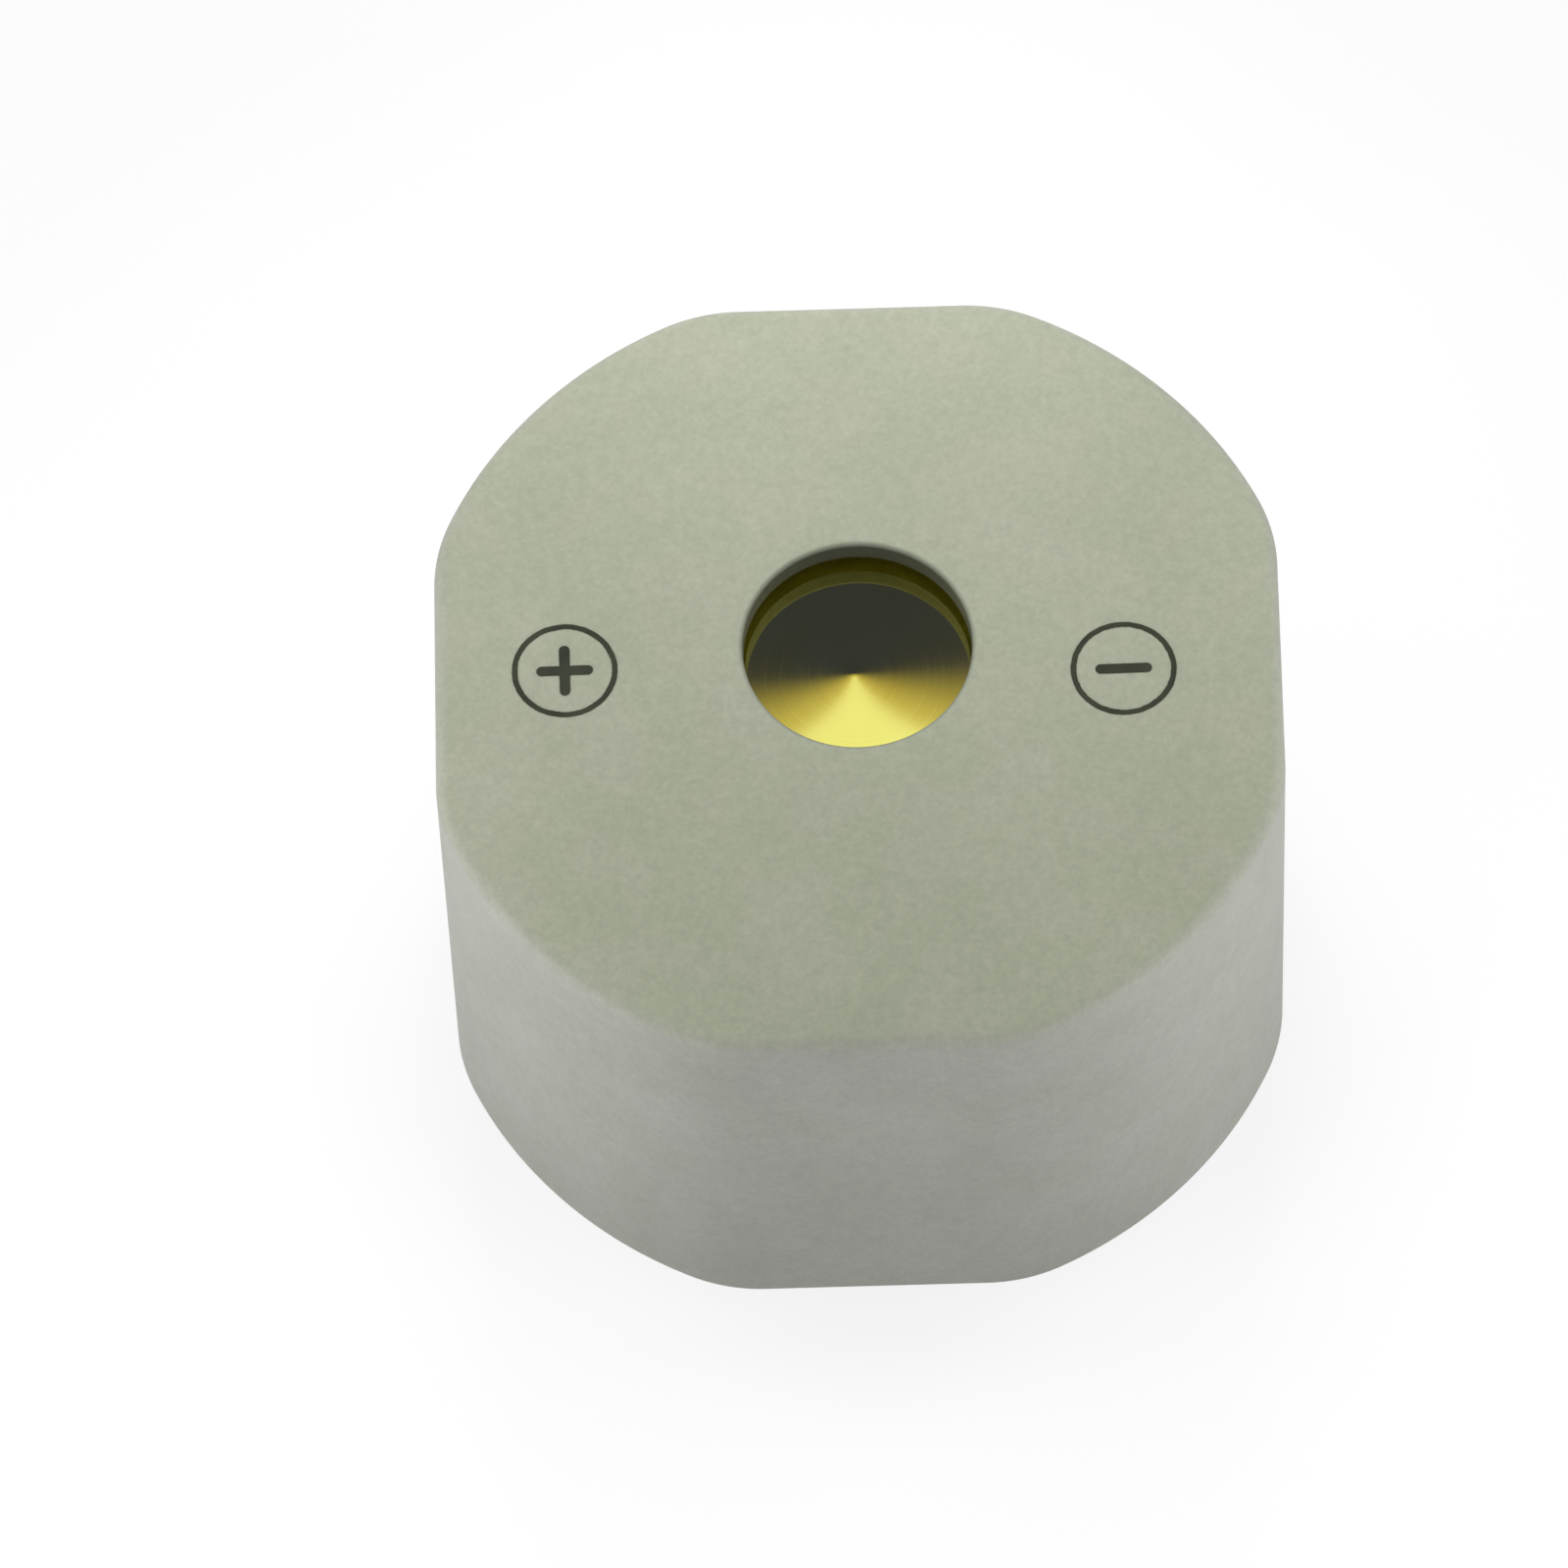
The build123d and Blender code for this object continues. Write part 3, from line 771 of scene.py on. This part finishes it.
# White all round for the camera and mirrors, which gives the object no light of its own
world = bpy.data.worlds.new("studio")
bpy.context.scene.world = world
world.use_nodes = True
world.node_tree.nodes.clear()
around = put(world.node_tree, "ShaderNodeBackground", white, seen_or_mirrored(world.node_tree))
put(world.node_tree, "ShaderNodeOutputWorld", Surface=around.outputs[0])

# Lamps and camera


def direction(azimuth, elevation):
    """Unit vector from the object towards a place given by two angles, with azimuth 0 at the front."""
    return Vector((sin(azimuth) * cos(elevation), -cos(azimuth) * cos(elevation), sin(elevation)))


object_middle = Vector((0, 0, body_height / 2))


def softbox(name, azimuth, elevation, distance, size, radiance):
    """Square lamp that faces the object's middle, and that mirrors don't show. Radiance is the brightness of
    its face, so the power is radiance times pi times the area."""
    lamp = bpy.data.lights.new(name, "AREA")
    lamp.size = size * MM
    lamp.energy = radiance * pi * (size * MM) ** 2
    made = shown(name, lamp)
    away = direction(radians(azimuth), radians(elevation))
    turned = away.to_track_quat("Z", "Y").to_matrix().to_4x4()
    made.matrix_world = Matrix.Translation(object_middle * MM + away * distance * MM) @ turned
    made.visible_camera = False
    made.visible_glossy = False


# Name, azimuth, elevation, distance, size, radiance
lamps = [
    ("back_softbox", 180.0, 45.0, 45.0, 35.0, 3.45),
    ("left_softbox", -95.0, 30.0, 55.0, 35.0, 2.9),
    ("right_softbox", 95.0, 30.0, 55.0, 35.0, 2.5),
    ("left_front_softbox", -45.0, 17.0, 50.0, 30.0, 3.75),
    ("right_front_softbox", 45.0, 17.0, 50.0, 30.0, 3.75),
]
for lamp in lamps:
    softbox(*lamp)

camera_azimuth, camera_elevation, camera_roll = radians(1.41), radians(61.48), radians(-2.84)
camera_distance, camera_lens, sensor_width = 419.6, 340.4, 36.0
aim_right, aim_up = -2.235, 0.395
to_camera = direction(camera_azimuth, camera_elevation)
level_right = Vector((cos(camera_azimuth), sin(camera_azimuth), 0))
level_up = to_camera.cross(level_right)
right = cos(camera_roll) * level_right + sin(camera_roll) * level_up
up = -sin(camera_roll) * level_right + cos(camera_roll) * level_up
aim = object_middle + aim_right * right + aim_up * up
camera = shown("camera", bpy.data.cameras.new("camera"))
camera.data.lens = camera_lens
camera.data.sensor_width = sensor_width
camera.data.clip_start, camera.data.clip_end = 0.01, 10.0
turned = Matrix((right, up, to_camera)).transposed().to_4x4()
camera.matrix_world = Matrix.Translation((aim + camera_distance * to_camera) * MM) @ turned
bpy.context.scene.camera = camera

# Card that the brass mirrors: dark at the foot, then warm, then white, as a studio card with a soft edge

card_distance = 160.0
card_tilt = radians(-3.0)
card_half = 200.0
card_dark = (0.035, 0.039, 0.118)
card_white = (1.0, 1.0, 1.0)
# Height above the mirror line, colour
card_rows = [
    (-220.0, card_dark),
    (-3.0, card_dark),
    (0.4, (0.26, 0.225, 0.16)),
    (4.0, (0.50, 0.41, 0.25)),
    (7.6, (0.66, 0.55, 0.32)),
    (8.5, card_white),
    (12.0, card_white),
]


def mirror_card(name):
    """Flat card square to the line along which level brass mirrors the camera's place. The colour goes evenly
    from row to row, from its lower edge to its upper one. It gives no light and no shadow of its own."""
    line = Vector((-to_camera.x, -to_camera.y, to_camera.z))
    across = (Vector((1, 0, 0)) - line.x * line).normalized()
    upward = across.cross(line)
    middle = Vector((0, 0, brass_high[2])) + card_distance * line
    along = cos(card_tilt) * across + sin(card_tilt) * upward
    climb = cos(card_tilt) * upward - sin(card_tilt) * across
    points = [
        (middle + x * along + height * climb) * MM
        for height, colour in card_rows for x in (-card_half, card_half)
    ]
    faces = [(row, row + 1, row + 3, row + 2) for row in range(0, 2 * len(card_rows) - 2, 2)]
    mesh = bpy.data.meshes.new(name)
    mesh.from_pydata(points, [], faces)
    glow = mesh.attributes.new("card_glow", "FLOAT_COLOR", "POINT")
    colours = np.repeat([(*colour, 1.0) for height, colour in card_rows], 2, axis=0)
    glow.data.foreach_set("color", colours.astype(np.float32).ravel())
    material, tree = bare_material(name)
    shine = put(tree, "ShaderNodeEmission", attribute(tree, "card_glow").outputs["Color"], 1.0)
    put(tree, "ShaderNodeOutputMaterial", Surface=shine.outputs[0])
    made = shown(name, mesh)
    made.data.materials.append(material)
    made.visible_camera = False
    made.visible_diffuse = False
    made.visible_shadow = False


mirror_card("mirror_card")

bpy.context.scene.view_settings.view_transform = "Standard"
